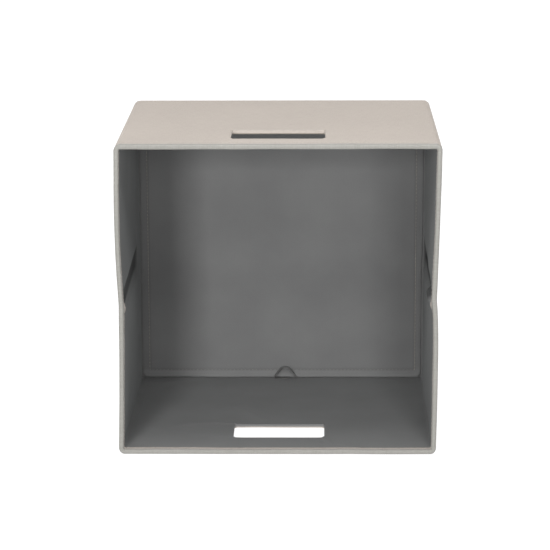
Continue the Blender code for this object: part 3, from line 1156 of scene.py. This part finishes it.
def hem_stitches():
    """The hem's seam, seen as one row on the outer face and one along the inner leg."""
    rows = (("outer", STITCH_LINE, STITCH_DIP, None, -1), ("inner", INNER_LEG - 0.0016, HEM, 1.0, 1))
    for segment in SEGMENTS:
        start, end = segment_span(segment)
        count = round((end - start) / (STITCH_LENGTH + STITCH_GAP))
        pitch = (end - start) / count
        for kind, back, depth, inner, facing in rows:
            pairs = []
            for k in range(count):
                s0 = start + pitch * k + STITCH_GAP / 2
                s1 = start + pitch * (k + 1) - STITCH_GAP / 2
                a = skin_point(s0, FRONT + back, depth, inner)
                b = skin_point(s1, FRONT + back, depth, inner)
                deeper = skin_point((s0 + s1) / 2, FRONT + back, depth + 0.001, inner)
                pairs.append((a, b, (deeper - (a + b) / 2).normalized() * facing))
            obj = stitch_object(f"{segment}_{kind}_stitches", pairs, OUTER_THREAD)
            attach(obj, segment)


def insert_stitches():
    """The row of stitches that closes the insert's sleeve round its board."""
    x0, x1 = INSERT_LOW.x + INSERT_FLANGE, INSERT_HIGH.x - INSERT_FLANGE
    z0, z1 = INSERT_LOW.z + INSERT_FLANGE, INSERT_HIGH.z - INSERT_FLANGE
    corners = [(x0, z0), (x1, z0), (x1, z1), (x0, z1)]
    front = INSERT_LOW.y + 0.0008
    pairs = []
    for a, b in zip(corners, [*corners[1:], corners[0]]):
        count = round(math.dist(a, b) / (STITCH_LENGTH + STITCH_GAP))
        for k in range(count):
            ends = [[mix(a[n], b[n], (k + share) / count) for n in (0, 1)] for share in (0.13, 0.87)]
            points = [Vector((x, front + flange_shift(x, z), z)) for x, z in ends]
            pairs.append((*points, Vector((0, -1, 0))))
    obj = stitch_object("insert_seam_stitches", pairs, INNER_THREAD)
    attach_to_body(obj, "base_insert")


# Floor, camera and light


FLOOR_REACH = 14.0
FLOOR_IN_FRONT = 6.0


def floor():
    """A wide pale floor under the box."""
    bm = bmesh.new()
    bmesh.ops.create_grid(bm, x_segments=8, y_segments=8, size=FLOOR_REACH)
    mesh = bpy.data.meshes.new("floor")
    bm.to_mesh(mesh)
    bm.free()
    obj = linked("floor", mesh)
    obj.location = (0, FLOOR_REACH - FLOOR_IN_FRONT, -0.0004)
    mesh.materials.append(pale_floor("white_floor"))


CAMERA_PLACE = (0.0407, -2.5147, 0.7253)
CAMERA_LENS = 161.42
CAMERA_TURNS = (-12.836, 0.237, 1.043)


def camera():
    """The photograph's view: a long lens a little to the right, looking down at the open side."""
    data = bpy.data.cameras.new("camera")
    data.lens = CAMERA_LENS
    data.sensor_width = 36.0
    obj = linked("camera", data)
    pitch, roll, yaw = (math.radians(turn) for turn in CAMERA_TURNS)
    turned = Matrix.Rotation(yaw, 4, "Z") @ Matrix.Rotation(pitch, 4, "X") @ Matrix.Rotation(roll, 4, "Y")
    obj.matrix_world = Matrix.Translation(CAMERA_PLACE) @ turned @ Matrix.Rotation(math.pi / 2, 4, "X")
    bpy.context.scene.camera = obj


LIGHT_AIM = (0.0, 0.0, MIDDLE)
SOFTBOXES = {
    "left_softbox": ((-0.585, -2.35, 0.66), (0.34, 0.45), 34.0),
    "right_softbox": ((0.49, -2.35, 0.66), (0.34, 0.45), 17.0),
    "top_softbox": ((0.0, -1.30, 1.45), (1.0, 0.5), 15.8),
}
SUN_STRENGTH = 3.50
SUN_ANGLE = 50.0
WORLD_STRENGTH = 0.02


def lights():
    """Softboxes beside the camera and above it, a broad soft overhead light, and a dim world."""
    for name, (place, size, watts) in SOFTBOXES.items():
        data = bpy.data.lights.new(name, "AREA")
        data.shape = "RECTANGLE"
        data.size, data.size_y = size
        data.energy = watts
        obj = linked(name, data)
        obj.location = place
        aim = Vector(LIGHT_AIM) - Vector(place)
        obj.rotation_euler = aim.to_track_quat("-Z", "Y").to_euler()
        obj.visible_camera = False
    data = bpy.data.lights.new("overhead", "SUN")
    data.energy = SUN_STRENGTH
    data.angle = math.radians(SUN_ANGLE)
    linked("overhead", data).rotation_euler = (math.radians(-6), math.radians(2), 0)
    scene = bpy.context.scene
    scene.world = bpy.data.worlds.new("studio")
    scene.world.use_nodes = True
    background = scene.world.node_tree.nodes["Background"]
    background.inputs[0].default_value = (1.0, 1.0, 1.0, 1.0)
    background.inputs[1].default_value = WORLD_STRENGTH
    scene.view_settings.view_transform = "Standard"


camera()
side_boards()
ring_cloth("outer", profile(), HEMMED, CLOTH)
ring_cloth("lining", lining_line(WALL), LINED, LINING, 1.0, LINING_CELL)
open_corner()
slot_turnings()
base_outer()
base_inner()
insert_sleeves()
pull_loop()
hem_stitches()
insert_stitches()
floor()
lights()
